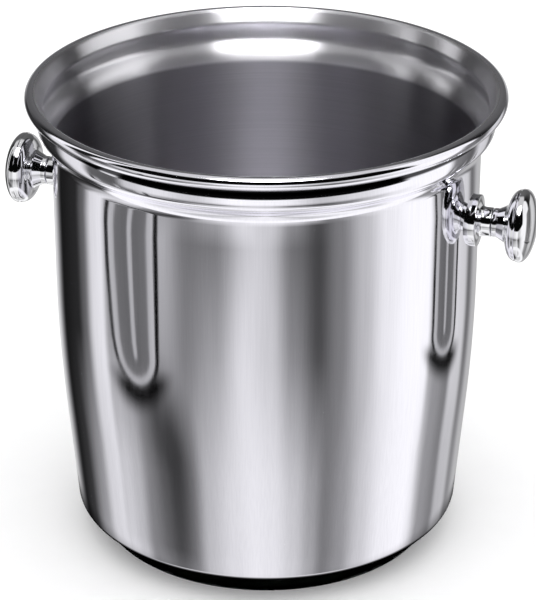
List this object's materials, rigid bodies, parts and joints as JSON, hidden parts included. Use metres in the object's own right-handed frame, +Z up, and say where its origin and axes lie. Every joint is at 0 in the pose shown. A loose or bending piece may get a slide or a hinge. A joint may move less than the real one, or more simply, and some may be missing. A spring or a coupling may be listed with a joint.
{
  "type": "champagne bucket",
  "caption": "Round metal bucket with a tapering wall, stepped-out collar, rolled rim, low foot ring and fixed side knobs, for chilling a bottle in ice.",
  "frame": {"origin": "centre of the circle that the foot ring stands on", "axes": "+Z up along the bucket's axis, +X out along the axis of the right knob, -Y towards the front"},
  "size_m": [0.2426, 0.21, 0.2105],
  "materials": {
    "polished_shell": "polished outside with a soft vertical satin grain, satin brushed inside",
    "foot_steel": "polished",
    "bright_knob": "mirror polished",
    "fastener_steel": "plain turned",
    "gasket": "matte, food-safe grey"
  },
  "bodies": {
    "root": {"bucket_shell": "polished_shell", "foot_ring": "foot_steel", "knob_right": "bright_knob", "knob_rosette_right": "bright_knob", "knob_gasket_right": "gasket", "knob_back_washer_right": "fastener_steel", "knob_lock_washer_right": "fastener_steel", "knob_screw_right": "fastener_steel", "knob_left": "bright_knob", "knob_rosette_left": "bright_knob", "knob_gasket_left": "gasket", "knob_back_washer_left": "fastener_steel", "knob_lock_washer_left": "fastener_steel", "knob_screw_left": "fastener_steel"}
  },
  "joints": []
}
